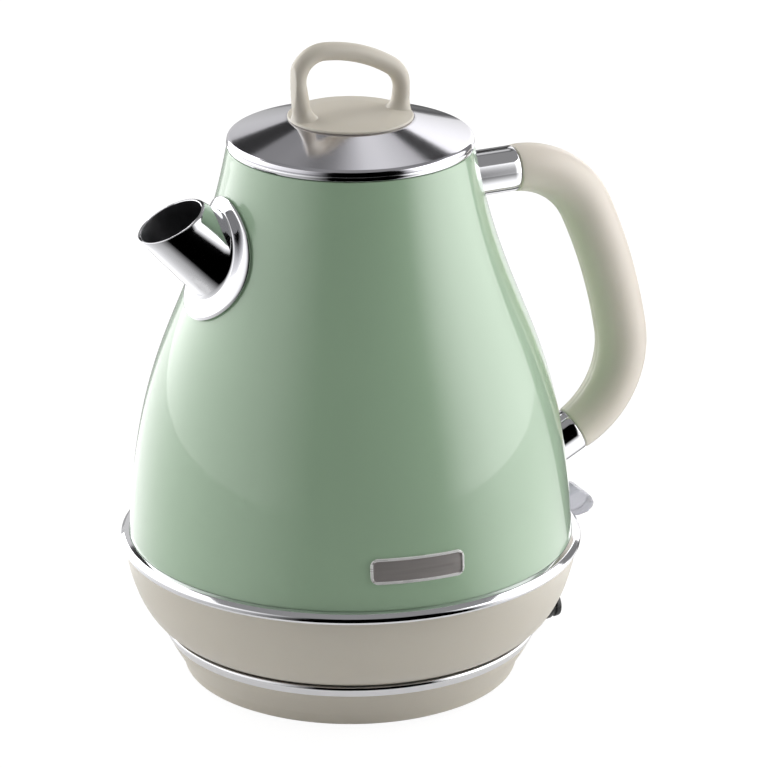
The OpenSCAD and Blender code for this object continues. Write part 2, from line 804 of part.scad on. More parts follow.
body_shell();
shell_ring();
badge_plate();
boiler_plate();
plate_seal();
heat_spreader();
heating_element();
element_tails();
control_unit();
bimetal_discs();
jug_socket();
socket_contacts();
steam_tube();
steam_thermostat();
indicator_lamp();
lower_housing();
underside_cover();
cover_screws();
spout();
spout_gasket();
filter_guide();
ferrule_upper();
ferrule_lower();
grip_left();
grip_right();
ferrule_screws();
ferrule_washers();
lever_pin();
lever_bracket();
filter_frame();
filter_mesh();
switch_lever();
trip_arm();
trip_pin();
lid_cone();
lid_rim();
lid_knob();
lid_plug();
lid_seal();
knob_screws();
base_cover();
base_ring();
base_floor();
base_feet();
base_screws();
base_connector();
live_pin();
neutral_ring();
earth_ring();
cord_gland();
cord_clamp();
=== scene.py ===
import json
import math
import bpy
import bmesh
from mathutils import Matrix, Vector


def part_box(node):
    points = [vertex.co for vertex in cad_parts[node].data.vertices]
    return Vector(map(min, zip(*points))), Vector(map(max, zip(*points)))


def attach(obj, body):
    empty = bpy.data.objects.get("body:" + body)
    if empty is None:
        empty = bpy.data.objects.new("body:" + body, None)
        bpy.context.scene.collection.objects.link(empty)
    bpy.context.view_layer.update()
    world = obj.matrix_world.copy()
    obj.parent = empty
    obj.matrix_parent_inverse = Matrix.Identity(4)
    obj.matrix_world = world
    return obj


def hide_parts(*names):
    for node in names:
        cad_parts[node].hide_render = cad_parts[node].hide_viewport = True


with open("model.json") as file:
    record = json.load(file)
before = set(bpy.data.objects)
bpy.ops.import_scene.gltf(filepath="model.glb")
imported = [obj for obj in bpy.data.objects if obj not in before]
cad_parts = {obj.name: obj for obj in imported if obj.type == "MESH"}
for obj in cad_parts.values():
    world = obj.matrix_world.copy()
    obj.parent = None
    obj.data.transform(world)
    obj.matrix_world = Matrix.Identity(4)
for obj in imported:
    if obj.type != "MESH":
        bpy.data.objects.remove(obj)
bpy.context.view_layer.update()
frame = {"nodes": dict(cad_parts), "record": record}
nodes = frame["nodes"]
mm = 0.001
print("frame loaded:", len(nodes), "nodes")


# camera, floor and lights

studio = {
    "turn": 24.0,             # degrees from the camera's right to the handle
    "distance": 1.5784,       # camera to the jug's axis, on the floor plan
    "height": 0.6996,
    "tilt": 20.367,           # degrees down
    "lens": 210.94,
    "shift": 0.0437,
    "floorSize": 12.0,
    "floorWhite": 0.86,
    "floorShare": 0.86,       # how much of the floor's look is glow, the rest is lit
    "floorGlow": 1.1,
    "ambient": 0.07,
    "mirrored": 0.30,         # the surroundings as polished pieces reflect them
    "floorMirrored": 0.35,    # the floor's share of glow in those reflections
    "nearFloor": 0.13,        # how close to the axis the cards' strips on the floor come
    "floorFade": 0.55,        # their glow beside the upright strips'
}


def studioPoint(right, back, up):
    # from the camera's own directions to the frame
    a = math.radians(studio["turn"])
    return Vector((right * math.cos(a) + back * math.sin(a), back * math.cos(a) - right * math.sin(a), up))


def makeCamera():
    data = bpy.data.cameras.new("camera")
    camera = bpy.data.objects.new("camera", data)
    bpy.context.scene.collection.objects.link(camera)
    tilt = math.radians(studio["tilt"])
    right = studioPoint(1, 0, 0)
    ahead = studioPoint(0, math.cos(tilt), -math.sin(tilt))
    up = right.cross(ahead)
    turn = Matrix((right, up, -ahead)).transposed()
    place = studioPoint(0, -studio["distance"], studio["height"])
    camera.matrix_world = Matrix.Translation(place) @ turn.to_4x4()
    data.lens = studio["lens"]
    data.sensor_width = 36
    data.shift_x = studio["shift"]
    data.clip_end = 60
    data.dof.use_dof = False
    bpy.context.scene.camera = camera


def rayMask(tree, *kinds):
    # 1 for the named kinds of ray, 0 for the others
    path = tree.nodes.new("ShaderNodeLightPath")
    result = path.outputs[kinds[0]]
    for kind in kinds[1:]:
        either = tree.nodes.new("ShaderNodeMath")
        either.operation = "MAXIMUM"
        tree.links.new(result, either.inputs[0])
        tree.links.new(path.outputs[kind], either.inputs[1])
        result = either.outputs[0]
    return result


def mixValues(tree, mask, low, high):
    # low where the mask is 0, high where it is 1; low may be a socket
    mix = tree.nodes.new("ShaderNodeMix")
    mix.data_type = "FLOAT"
    mix.inputs[3].default_value = high
    if isinstance(low, float):
        mix.inputs[2].default_value = low
    else:
        tree.links.new(low, mix.inputs[2])
    tree.links.new(mask, mix.inputs[0])
    return mix.outputs[0]


def makeWorld():
    world = bpy.data.worlds.new("studio")
    bpy.context.scene.world = world
    world.use_nodes = True
    tree = world.node_tree
    tree.nodes.clear()
    out = tree.nodes.new("ShaderNodeOutputWorld")
    sky = tree.nodes.new("ShaderNodeBackground")
    sky.inputs["Color"].default_value = (1, 1, 1, 1)
    mirrored = mixValues(tree, rayMask(tree, "Is Glossy Ray"), studio["ambient"], studio["mirrored"])
    strength = mixValues(tree, rayMask(tree, "Is Camera Ray", "Is Transmission Ray"), mirrored, 1.0)
    tree.links.new(strength, sky.inputs["Strength"])
    tree.links.new(sky.outputs[0], out.inputs["Surface"])


def makeFloor():
    bpy.ops.mesh.primitive_plane_add(size=studio["floorSize"], location=(0, 0, 0))
    floor = bpy.context.object
    floor.name = "floor"
    material = bpy.data.materials.new("floorWhite")
    material.use_nodes = True
    tree = material.node_tree
    tree.nodes.clear()
    out = tree.nodes.new("ShaderNodeOutputMaterial")
    diffuse = tree.nodes.new("ShaderNodeBsdfDiffuse")
    diffuse.inputs["Color"].default_value = (studio["floorWhite"],) * 3 + (1,)
    glow = tree.nodes.new("ShaderNodeEmission")
    glow.inputs["Color"].default_value = (1, 1, 1, 1)
    glow.inputs["Strength"].default_value = studio["floorGlow"]
    mirrored = mixValues(tree, rayMask(tree, "Is Glossy Ray"), 0.0, studio["floorMirrored"])
    seen = rayMask(tree, "Is Camera Ray", "Is Transmission Ray")
    share = mixValues(tree, seen, mirrored, studio["floorShare"])
    mix = tree.nodes.new("ShaderNodeMixShader")
    tree.links.new(share, mix.inputs["Fac"])
    tree.links.new(diffuse.outputs[0], mix.inputs[1])
    tree.links.new(glow.outputs[0], mix.inputs[2])
    tree.links.new(mix.outputs[0], out.inputs["Surface"])
    floor.data.materials.append(material)


# each card hangs round the object and faces it: azimuths run from the camera to its right,
# and the glow is given at even steps from the first azimuth to the last
cards = {
    "darkFront": {"azimuths": (-20, 48), "low": 0.0, "high": 1.9, "away": 1.3, "glow": (0.0, 0.0)},
    "rightBox": {"azimuths": (48, 128), "low": 0.0, "high": 1.25, "away": 1.2,
                 "glow": (0.1, 2.1, 3.0, 2.9, 2.5, 1.6)},
    "rightGap": {"azimuths": (128, 146), "low": 0.0, "high": 1.1, "away": 1.35, "glow": (0.25, 0.25)},
    "rightEdge": {"azimuths": (146, 172), "low": 0.0, "high": 1.18, "away": 1.5, "glow": (2.4, 1.7, 0.9)},
    "leftBox": {"azimuths": (-150, -20), "low": 0.0, "high": 1.4, "away": 1.25,
                "glow": (3.0, 2.6, 1.8, 1.3, 0.9, 0.0)},
    "rearLow": {"azimuths": (173, 208), "low": 0.0, "high": 0.73, "away": 1.45, "glow": (0.1, 0.7, 0.7)},
    "rearDark": {"azimuths": (173, 208), "low": 0.73, "high": 1.2, "away": 1.45, "glow": (0.04, 0.04)},
    "rearBand": {"azimuths": (158, 208), "low": 1.19, "high": 1.56, "away": 1.5,
                 "glow": (0.05, 0.05, 0.2, 0.3, 0.3, 0.3)},
    "rearStripes": {"azimuths": (150, 210), "low": 1.56, "high": 2.6, "away": 1.5,
                    "glow": (0.1, 0.1, 0.45, 0.75, 0.9, 0.85, 0.55, 0.28, 0.2, 0.33, 0.3, 0.2, 0.1)},
}


def makeCard(name, spec, lying):
    # an upright strip, or its run along the floor, which only polished pieces see
    title = name + "Floor" if lying else name
    mesh = bpy.data.meshes.new(title)
    steps = 24
    verts = []
    glow = []
    levels = spec["glow"]
    for i in range(steps + 1):
        share = i / steps
        a = math.radians(spec["azimuths"][0] + (spec["azimuths"][1] - spec["azimuths"][0]) * share)
        at = share * (len(levels) - 1)
        k = min(int(at), len(levels) - 2)
        level = levels[k] + (levels[k + 1] - levels[k]) * (at - k)
        ends = [(spec["away"], spec["low"]), (spec["away"], spec["high"])]
        if lying:
            ends = [(studio["nearFloor"], 0.001), (spec["away"], 0.001)]
            level *= studio["floorFade"]
        for away, z in ends:
            verts.append(studioPoint(away * math.sin(a), -away * math.cos(a), z))
            glow.append(level)
    faces = [(2 * i, 2 * i + 2, 2 * i + 3, 2 * i + 1) for i in range(steps)]
    mesh.from_pydata(verts, [], faces)
    layer = mesh.attributes.new("glow", "FLOAT", "POINT")
    for i, value in enumerate(glow):
        layer.data[i].value = value
    card = bpy.data.objects.new(title, mesh)
    bpy.context.scene.collection.objects.link(card)
    material = bpy.data.materials.new(title)
    material.use_nodes = True
    tree = material.node_tree
    tree.nodes.clear()
    out = tree.nodes.new("ShaderNodeOutputMaterial")
    light = tree.nodes.new("ShaderNodeEmission")
    read = tree.nodes.new("ShaderNodeAttribute")
    read.attribute_name = "glow"
    tree.links.new(read.outputs["Fac"], light.inputs["Strength"])
    tree.links.new(light.outputs[0], out.inputs["Surface"])
    mesh.materials.append(material)
    card.visible_camera = False
    card.visible_shadow = False
    card.visible_transmission = False
    card.visible_diffuse = not lying


def areaLight(name, place, aim, size, power):
    data = bpy.data.lights.new(name, "AREA")
    data.shape = "RECTANGLE"
    data.size, data.size_y = size
    data.energy = power
    light = bpy.data.objects.new(name, data)
    bpy.context.scene.collection.objects.link(light)
    light.location = place
    light.rotation_mode = "QUATERNION"
    light.rotation_quaternion = (aim - place).to_track_quat("-Z", "Y")
    light.visible_camera = False
    light.visible_glossy = False


makeCamera()
makeWorld()
makeFloor()
for cardName, cardSpec in cards.items():
    makeCard(cardName, cardSpec, False)
    if cardSpec["low"] == 0:
        makeCard(cardName, cardSpec, True)
topBox = {"place": (0.2, 0.3, 1.7), "aim": (0, 0, 0.12), "size": (1.1, 0.9), "power": 7.5}
areaLight("topBox", studioPoint(*topBox["place"]), Vector(topBox["aim"]), topBox["size"], topBox["power"])
scene = bpy.context.scene
scene.view_settings.view_transform = "Standard"
print("studio ready")


# shader node groups: each gives masks, values and normals to the materials that place it

def newGroup(name, inputs, outputs):
    group = bpy.data.node_groups.new(name, "ShaderNodeTree")
    for label, kind, value in inputs:
        socket = group.interface.new_socket(label, in_out="INPUT", socket_type=kind)
        if value is not None:
            socket.default_value = value
    for label, kind in outputs:
        group.interface.new_socket(label, in_out="OUTPUT", socket_type=kind)
    return group, group.nodes.new("NodeGroupInput"), group.nodes.new("NodeGroupOutput")


def addNode(tree, kind, settings=None, values=None):
    node = tree.nodes.new(kind)
    for key, value in (settings or {}).items():
        setattr(node, key, value)
    for key, value in (values or {}).items():
        node.inputs[key].default_value = value
    return node


def makeGrainGroup():
    # fine moulded or sprayed texture: a height value and a slow mottle
    tree, source, target = newGroup("fineGrain", [
        ("Scale", "NodeSocketFloat", 900.0), ("Detail", "NodeSocketFloat", 3.0),
        ("Mottle Scale", "NodeSocketFloat", 18.0)],
        [("Height", "NodeSocketFloat"), ("Mottle", "NodeSocketFloat")])
    place = addNode(tree, "ShaderNodeTexCoord")
    grain = addNode(tree, "ShaderNodeTexNoise", values={"Roughness": 0.6})
    mottle = addNode(tree, "ShaderNodeTexNoise", values={"Detail": 4.0, "Roughness": 0.55})
    tree.links.new(place.outputs["Object"], grain.inputs["Vector"])
    tree.links.new(place.outputs["Object"], mottle.inputs["Vector"])
    tree.links.new(source.outputs["Scale"], grain.inputs["Scale"])
    tree.links.new(source.outputs["Detail"], grain.inputs["Detail"])
    tree.links.new(source.outputs["Mottle Scale"], mottle.inputs["Scale"])
    tree.links.new(grain.outputs["Fac"], target.inputs["Height"])
    tree.links.new(mottle.outputs["Fac"], target.inputs["Mottle"])
    return tree


def makeBrushGroup():
    # lines of a brushed or polished surface, drawn out along one direction
    tree, source, target = newGroup("brushLines", [
        ("Stretch", "NodeSocketVector", (1.0, 1.0, 1.0)), ("Scale", "NodeSocketFloat", 400.0)],
        [("Lines", "NodeSocketFloat"), ("Smudge", "NodeSocketFloat")])
    place = addNode(tree, "ShaderNodeTexCoord")
    scaled = addNode(tree, "ShaderNodeVectorMath", {"operation": "MULTIPLY"})
    lines = addNode(tree, "ShaderNodeTexNoise", values={"Detail": 2.0, "Roughness": 0.7})
    smudge = addNode(tree, "ShaderNodeTexNoise", values={"Scale": 22.0, "Detail": 5.0, "Roughness": 0.6})
    tree.links.new(place.outputs["Object"], scaled.inputs[0])
    tree.links.new(source.outputs["Stretch"], scaled.inputs[1])
    tree.links.new(scaled.outputs[0], lines.inputs["Vector"])
    tree.links.new(source.outputs["Scale"], lines.inputs["Scale"])
    tree.links.new(place.outputs["Object"], smudge.inputs["Vector"])
    tree.links.new(lines.outputs["Fac"], target.inputs["Lines"])
    tree.links.new(smudge.outputs["Fac"], target.inputs["Smudge"])
    return tree


def makeTurnedGroup():
    # concentric lathe lines round the vertical axis
    tree, source, target = newGroup("turnedLines", [
        ("Pitch", "NodeSocketFloat", 2600.0), ("Wander", "NodeSocketFloat", 0.35)],
        [("Lines", "NodeSocketFloat")])
    place = addNode(tree, "ShaderNodeTexCoord")
    parts = addNode(tree, "ShaderNodeSeparateXYZ")
    flat = addNode(tree, "ShaderNodeCombineXYZ")
    radius = addNode(tree, "ShaderNodeVectorMath", {"operation": "LENGTH"})
    lines = addNode(tree, "ShaderNodeTexNoise", {"noise_dimensions": "1D"},
                    {"Detail": 3.0, "Roughness": 0.75})
    tree.links.new(place.outputs["Object"], parts.inputs[0])
    tree.links.new(parts.outputs["X"], flat.inputs["X"])
    tree.links.new(parts.outputs["Y"], flat.inputs["Y"])
    tree.links.new(flat.outputs[0], radius.inputs[0])
    along = addNode(tree, "ShaderNodeMath", {"operation": "ADD"})
    tree.links.new(radius.outputs["Value"], along.inputs[0])
    tree.links.new(parts.outputs["Z"], along.inputs[1])
    tree.links.new(along.outputs[0], lines.inputs["W"])
    tree.links.new(source.outputs["Pitch"], lines.inputs["Scale"])
    tree.links.new(source.outputs["Wander"], lines.inputs["Distortion"])
    tree.links.new(lines.outputs["Fac"], target.inputs["Lines"])
    return tree


def makeWearGroup():
    # a mask along convex edges, broken up by noise
    tree, source, target = newGroup("edgeWear", [
        ("Width", "NodeSocketFloat", 0.0006), ("Breakup", "NodeSocketFloat", 120.0)],
        [("Mask", "NodeSocketFloat")])
    bevel = addNode(tree, "ShaderNodeBevel", {"samples": 4})
    plain = addNode(tree, "ShaderNodeNewGeometry")
    same = addNode(tree, "ShaderNodeVectorMath", {"operation": "DOT_PRODUCT"})
    edge = addNode(tree, "ShaderNodeMapRange", values={"From Min": 0.995, "From Max": 0.85})
    place = addNode(tree, "ShaderNodeTexCoord")
    noise = addNode(tree, "ShaderNodeTexNoise", values={"Detail": 3.0})
    broken = addNode(tree, "ShaderNodeMath", {"operation": "MULTIPLY"})
    tree.links.new(source.outputs["Width"], bevel.inputs["Radius"])
    tree.links.new(bevel.outputs["Normal"], same.inputs[0])
    tree.links.new(plain.outputs["Normal"], same.inputs[1])
    tree.links.new(same.outputs["Value"], edge.inputs["Value"])
    tree.links.new(place.outputs["Object"], noise.inputs["Vector"])
    tree.links.new(source.outputs["Breakup"], noise.inputs["Scale"])
    tree.links.new(edge.outputs["Result"], broken.inputs[0])
    tree.links.new(noise.outputs["Fac"], broken.inputs[1])
    tree.links.new(broken.outputs[0], target.inputs["Mask"])
    return tree


grainGroup = makeGrainGroup()
brushGroup = makeBrushGroup()
turnedGroup = makeTurnedGroup()
wearGroup = makeWearGroup()


def placeGroup(tree, group, **values):
    node = tree.nodes.new("ShaderNodeGroup")
    node.node_tree = group
    for key, value in values.items():
        node.inputs[key.replace("_", " ")].default_value = value
    return node


def blendColours(tree, factor, first, second):
    mix = addNode(tree, "ShaderNodeMix", {"data_type": "RGBA"})
    mix.inputs[6].default_value = (*first, 1)
    mix.inputs[7].default_value = (*second, 1)
    tree.links.new(factor, mix.inputs[0])
    return mix.outputs[2]


def valueRange(tree, source, low, high, fromLow=0.3, fromHigh=0.7):
    span = addNode(tree, "ShaderNodeMapRange", values={
        "From Min": fromLow, "From Max": fromHigh, "To Min": low, "To Max": high})
    tree.links.new(source, span.inputs["Value"])
    return span.outputs["Result"]


def addBump(tree, shader, height, strength, distance):
    bump = addNode(tree, "ShaderNodeBump", values={"Strength": strength, "Distance": distance})
    tree.links.new(height, bump.inputs["Height"])
    tree.links.new(bump.outputs["Normal"], shader.inputs["Normal"])


def newMaterial(name, **values):
    material = bpy.data.materials.new(name)
    material.use_nodes = True
    shader = material.node_tree.nodes["Principled BSDF"]
    for key, value in values.items():
        shader.inputs[key.replace("_", " ")].default_value = value
    return material, material.node_tree, shader


def enamelMaterial():
    look = {"pale": (0.400, 0.570, 0.392), "deep": (0.376, 0.540, 0.368), "rough": (0.30, 0.38)}
    material, tree, shader = newMaterial("greenEnamel", Coat_Weight=1.0, Coat_Roughness=0.035, Coat_IOR=1.55,
                                         Specular_IOR_Level=0.4)
    grain = placeGroup(tree, grainGroup, Scale=650.0, Detail=2.0, Mottle_Scale=9.0)
    colour = blendColours(tree, grain.outputs["Mottle"], look["deep"], look["pale"])
    tree.links.new(colour, shader.inputs["Base Color"])
    tree.links.new(valueRange(tree, grain.outputs["Mottle"], *look["rough"]), shader.inputs["Roughness"])
    addBump(tree, shader, grain.outputs["Height"], 0.03, 0.0002)
    return material


# the grip's two tones are the same cream made paler: painted light for the extra light falling on the grip
cream = {"pale": (0.69, 0.645, 0.56), "deep": (0.655, 0.61, 0.525), "gripLitPale": (0.80, 0.735, 0.65),
         "gripLitDeep": (0.765, 0.70, 0.615), "worn": (0.78, 0.74, 0.66), "rough": (0.30, 0.38)}


def creamMaterial(name, pale, deep):
    material, tree, shader = newMaterial(name, Subsurface_Weight=0.06,
                                         Subsurface_Radius=(0.004, 0.003, 0.002),
                                         Subsurface_Scale=0.5)
    grain = placeGroup(tree, grainGroup, Scale=1300.0, Detail=3.0, Mottle_Scale=14.0)
    wear = placeGroup(tree, wearGroup, Width=0.0005)
    worn = addNode(tree, "ShaderNodeMix", {"data_type": "RGBA"})
    worn.inputs[7].default_value = (*cream["worn"], 1)
    tree.links.new(blendColours(tree, grain.outputs["Mottle"], deep, pale), worn.inputs[6])
    tree.links.new(wear.outputs["Mask"], worn.inputs[0])
    tree.links.new(worn.outputs[2], shader.inputs["Base Color"])
    tree.links.new(valueRange(tree, grain.outputs["Mottle"], *cream["rough"]), shader.inputs["Roughness"])
    addBump(tree, shader, grain.outputs["Height"], 0.10, 0.0001)
    return material


def steelMaterial(name, tone=(0.80, 0.80, 0.82), rough=(0.05, 0.10), turned=0.02, dull=(0.74, 0.74, 0.77)):
    material, tree, shader = newMaterial(name, Metallic=1.0)
    brush = placeGroup(tree, brushGroup, Scale=300.0)
    lines = placeGroup(tree, turnedGroup, Pitch=3000.0)
    tree.links.new(blendColours(tree, brush.outputs["Smudge"], dull, tone), shader.inputs["Base Color"])
    tree.links.new(valueRange(tree, brush.outputs["Smudge"], *rough), shader.inputs["Roughness"])
    addBump(tree, shader, lines.outputs["Lines"], turned, 0.0001)
    return material


def brushedMaterial(name, tone, dull, stretch, rough=(0.24, 0.36), metallic=1.0):
    material, tree, shader = newMaterial(name, Metallic=metallic)
    brush = placeGroup(tree, brushGroup, Scale=900.0, Stretch=stretch)
    tree.links.new(blendColours(tree, brush.outputs["Lines"], dull, tone), shader.inputs["Base Color"])
    tree.links.new(valueRange(tree, brush.outputs["Lines"], *rough), shader.inputs["Roughness"])
    addBump(tree, shader, brush.outputs["Lines"], 0.12, 0.0001)
    return material


def mouldedMaterial(name, tone, dull, rough, bump=0.15, scale=1100.0):
    material, tree, shader = newMaterial(name)
    grain = placeGroup(tree, grainGroup, Scale=scale, Detail=3.0, Mottle_Scale=30.0)
    wear = placeGroup(tree, wearGroup, Width=0.0004)
    worn = addNode(tree, "ShaderNodeMix", {"data_type": "RGBA"})
    worn.inputs[7].default_value = tuple(min(1.0, c * 1.6 + 0.02) for c in tone) + (1,)
    tree.links.new(blendColours(tree, grain.outputs["Mottle"], dull, tone), worn.inputs[6])
    tree.links.new(wear.outputs["Mask"], worn.inputs[0])
    tree.links.new(worn.outputs[2], shader.inputs["Base Color"])
    tree.links.new(valueRange(tree, grain.outputs["Mottle"], *rough), shader.inputs["Roughness"])
    addBump(tree, shader, grain.outputs["Height"], bump, 0.0001)
    return material


def clearMaterial():
    material, tree, shader = newMaterial("clearLever", Transmission_Weight=0.6, IOR=1.49)
    grain = placeGroup(tree, grainGroup, Scale=260.0, Detail=2.0, Mottle_Scale=60.0)
    tree.links.new(blendColours(tree, grain.outputs["Mottle"], (0.60, 0.60, 0.66), (0.76, 0.76, 0.82)),
                   shader.inputs["Base Color"])
    tree.links.new(valueRange(tree, grain.outputs["Mottle"], 0.06, 0.20), shader.inputs["Roughness"])
    addBump(tree, shader, grain.outputs["Height"], 0.10, 0.0003)
    return material


def lampMaterial():
    material, tree, shader = newMaterial("lampGlass", Transmission_Weight=0.8, IOR=1.45)
    grain = placeGroup(tree, grainGroup, Scale=400.0)
    tree.links.new(blendColours(tree, grain.outputs["Mottle"], (0.9, 0.35, 0.10), (1.0, 0.5, 0.2)),
                   shader.inputs["Base Color"])
    tree.links.new(valueRange(tree, grain.outputs["Mottle"], 0.05, 0.15), shader.inputs["Roughness"])
    return material


materials = {
    "green_enamel": enamelMaterial(),
    "cream_plastic": creamMaterial("creamPlastic", cream["pale"], cream["deep"]),
    "polished_steel": steelMaterial("polishedSteel"),
    "brushed_steel": brushedMaterial("brushedSteel", (0.66, 0.66, 0.68), (0.52, 0.52, 0.54), (1, 1, 0.04)),
    "aluminium": brushedMaterial("millAluminium", (0.76, 0.76, 0.77), (0.64, 0.64, 0.66), (1, 0.05, 1)),
    "black_plastic": mouldedMaterial("blackPlastic", (0.022, 0.022, 0.024), (0.014, 0.014, 0.015),
                                     (0.22, 0.34), 0.1),
    "brass": brushedMaterial("brass", (0.78, 0.58, 0.28), (0.66, 0.47, 0.20), (1, 1, 0.1), (0.2, 0.32)),
    "rubber": mouldedMaterial("rubber", (0.05, 0.05, 0.052), (0.03, 0.03, 0.032), (0.62, 0.8), 0.4, 1600.0),
    "silicone": mouldedMaterial("silicone", (0.80, 0.79, 0.76), (0.74, 0.73, 0.70), (0.45, 0.6), 0.1),
    "screw_steel": brushedMaterial("screwSteel", (0.6, 0.6, 0.62), (0.45, 0.45, 0.47), (1, 1, 1),
                                   (0.28, 0.42)),
    "clear_plastic": clearMaterial(),
    "lamp_glass": lampMaterial(),
    "mesh_steel": brushedMaterial("meshSteel", (0.7, 0.7, 0.72), (0.5, 0.5, 0.52), (1, 1, 1), (0.25, 0.4)),
}
# the lid cone's steel is a darker, bluer copy of the polished steel: painted shade standing in for the darker
# reflections the cone shows
lidShadedSteel = steelMaterial("lidShadedSteel", (0.72, 0.71, 0.75), (0.08, 0.12), 0.05, (0.66, 0.65, 0.70))
lidShader = lidShadedSteel.node_tree.nodes["Principled BSDF"]
lidShader.inputs["Anisotropic"].default_value = 0.3
around = addNode(lidShadedSteel.node_tree, "ShaderNodeTangent", {"direction_type": "RADIAL", "axis": "Z"})
lidShadedSteel.node_tree.links.new(around.outputs[0], lidShader.inputs["Tangent"])
# the grip's material is a paler copy of the cream plastic, painted light for the light falling on the grip
litGripCream = creamMaterial("litGripCream", cream["gripLitPale"], cream["gripLitDeep"])
plateSteel = brushedMaterial("plateSteel", (0.40, 0.37, 0.36), (0.30, 0.28, 0.27), (0.05, 0.05, 1),
                             (0.34, 0.46), 0.3)
borderSteel = brushedMaterial("borderSteel", (0.95, 0.94, 0.93), (0.88, 0.87, 0.86), (0.05, 0.05, 1),
                              (0.26, 0.34), 0.3)
# dark steel for the inside of the spout: painted shade standing in for the shade inside the tube
paintedShadeSteel = brushedMaterial("paintedShadeSteel", (0.34, 0.34, 0.36), (0.24, 0.24, 0.26), (1, 1, 0.1), (0.42, 0.55))

for part in frame["record"]["subparts"]:
    node = nodes[part["node"]]
    for place in node.material_slots:
        place.material = materials[part["material_slot"]]
print("materials ready")


# mesh helpers

def finishMesh(name, mesh, material, smoothAngle=32):
    mesh.shade_smooth()
    mesh.set_sharp_from_angle(angle=math.radians(smoothAngle))
    mesh.materials.append(material)
    piece = bpy.data.objects.new(name, mesh)
    scene.collection.objects.link(piece)
    return piece


def cleanMesh(name, verts, faces):
    mesh = bpy.data.meshes.new(name)
    mesh.from_pydata(verts, [], faces)
    work = bmesh.new()
    work.from_mesh(mesh)
    bmesh.ops.remove_doubles(work, verts=work.verts, dist=2e-6)
    bmesh.ops.dissolve_degenerate(work, edges=work.edges, dist=1e-6)
    bmesh.ops.recalc_face_normals(work, faces=work.faces)
    work.to_mesh(mesh)
    work.free()
    return mesh


def bandFaces(rings, width, closeAcross=True, closeAlong=False):
    faces = []
    last = rings if closeAlong else rings - 1
    for j in range(last):
        for i in range(width if closeAcross else width - 1):
            a, b = j * width + i, j * width + (i + 1) % width
            c, d = ((j + 1) % rings) * width + (i + 1) % width, ((j + 1) % rings) * width + i
            faces.append((a, b, c, d))
    return faces


def turnedPiece(name, outline, material, steps=192, start=0.0, sweep=360.0, smoothAngle=32):
    # outline: closed loop of (radius, height) in millimetres
    whole = sweep >= 360
    count = steps if whole else steps + 1
    verts = []
    for j in range(count):
        a = math.radians(start + sweep * j / steps)
        verts += [(r * math.cos(a) * mm, r * math.sin(a) * mm, z * mm) for r, z in outline]
    faces = bandFaces(count, len(outline), True, whole)
    if not whole:
        faces += [tuple(range(len(outline))), tuple(range((count - 1) * len(outline), count * len(outline)))]
    return finishMesh(name, cleanMesh(name, verts, faces), material, smoothAngle)


def rounded(points, steps=5):
    # a closed outline whose corners carry a radius: (x, y, radius)
    result = []
    n = len(points)
    for i, (x, y, radius) in enumerate(points):
        here = Vector((x, y))
        before = Vector(points[i - 1][:2]) - here
        after = Vector(points[(i + 1) % n][:2]) - here
        if radius <= 0 or before.length < 1e-9 or after.length < 1e-9:
            result.append((x, y))
            continue
        angle = before.angle(after)
        reach = min(radius / math.tan(angle / 2), before.length * 0.49, after.length * 0.49)
        first, last = here + before.normalized() * reach, here + after.normalized() * reach
        for k in range(steps + 1):
            t = k / steps
            p = first * (1 - t) ** 2 + here * 2 * t * (1 - t) + last * t ** 2
            result.append((p.x, p.y))
    return result


def bezier(points, t):
    work = [Vector(p) for p in points]
    while len(work) > 1:
        work = [a * (1 - t) + b * t for a, b in zip(work, work[1:])]
    return work[0]


def addPiece(piece, body, slotName, *replaced):
    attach(piece, body)
    if replaced:
        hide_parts(*replaced)
    return piece


def cutAway(piece, cutter):
    change = piece.modifiers.new("cut", "BOOLEAN")
    change.operation = "DIFFERENCE"
    change.solver = "EXACT"
    change.object = cutter
    depsgraph = bpy.context.evaluated_depsgraph_get()
    mesh = bpy.data.meshes.new_from_object(piece.evaluated_get(depsgraph))
    piece.modifiers.clear()
    old = piece.data
    piece.data = mesh
    bpy.data.meshes.remove(old)
    bpy.data.objects.remove(cutter)


def boxCutter(low, high):
    corners = [(x, y, z) for x in (low[0], high[0]) for y in (low[1], high[1]) for z in (low[2], high[2])]
    faces = [(0, 1, 3, 2), (4, 6, 7, 5), (0, 4, 5, 1), (2, 3, 7, 6), (0, 2, 6, 4), (1, 5, 7, 3)]
    mesh = cleanMesh("cutter", [Vector(p) * mm for p in corners], faces)
    cutter = bpy.data.objects.new("cutter", mesh)
    scene.collection.objects.link(cutter)
    return cutter


def rodCutter(base, direction, length, radius):
    mesh = bpy.data.meshes.new("cutter")
    work = bmesh.new()
    bmesh.ops.create_cone(work, cap_ends=True, segments=64,
                          radius1=radius * mm, radius2=radius * mm, depth=length * mm)
    work.to_mesh(mesh)
    work.free()
    cutter = bpy.data.objects.new("cutter", mesh)
    scene.collection.objects.link(cutter)
    middle = Vector(base) + Vector(direction) * (length / 2)
    turn = Vector(direction).to_track_quat("Z", "Y").to_matrix().to_4x4()
    cutter.matrix_world = Matrix.Translation(middle * mm) @ turn
    bpy.context.view_layer.update()
    return cutter


# heights and radii that the pieces share, in millimetres, read from the frame

def edges(node):
    low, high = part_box(node)
    return [v / mm for v in low], [v / mm for v in high]


shellHigh = edges("body_shell")[1]
ringLow = edges("shell_ring")[0]
ringBaseLow, ringBaseHigh = edges("base_ring")
mouthZ = shellHigh[2]
footZ = ringLow[2] + 4.2
footR = shellHigh[1]
mouthR = edges("lid_rim")[1][1] - 0.05
shellCurve = [(footR, footZ), (footR - 4.3, footZ + 82), (mouthR + 12.8, mouthZ - 68.3), (mouthR, mouthZ)]
shellProfile = [bezier(shellCurve, i / 90) for i in range(91)]


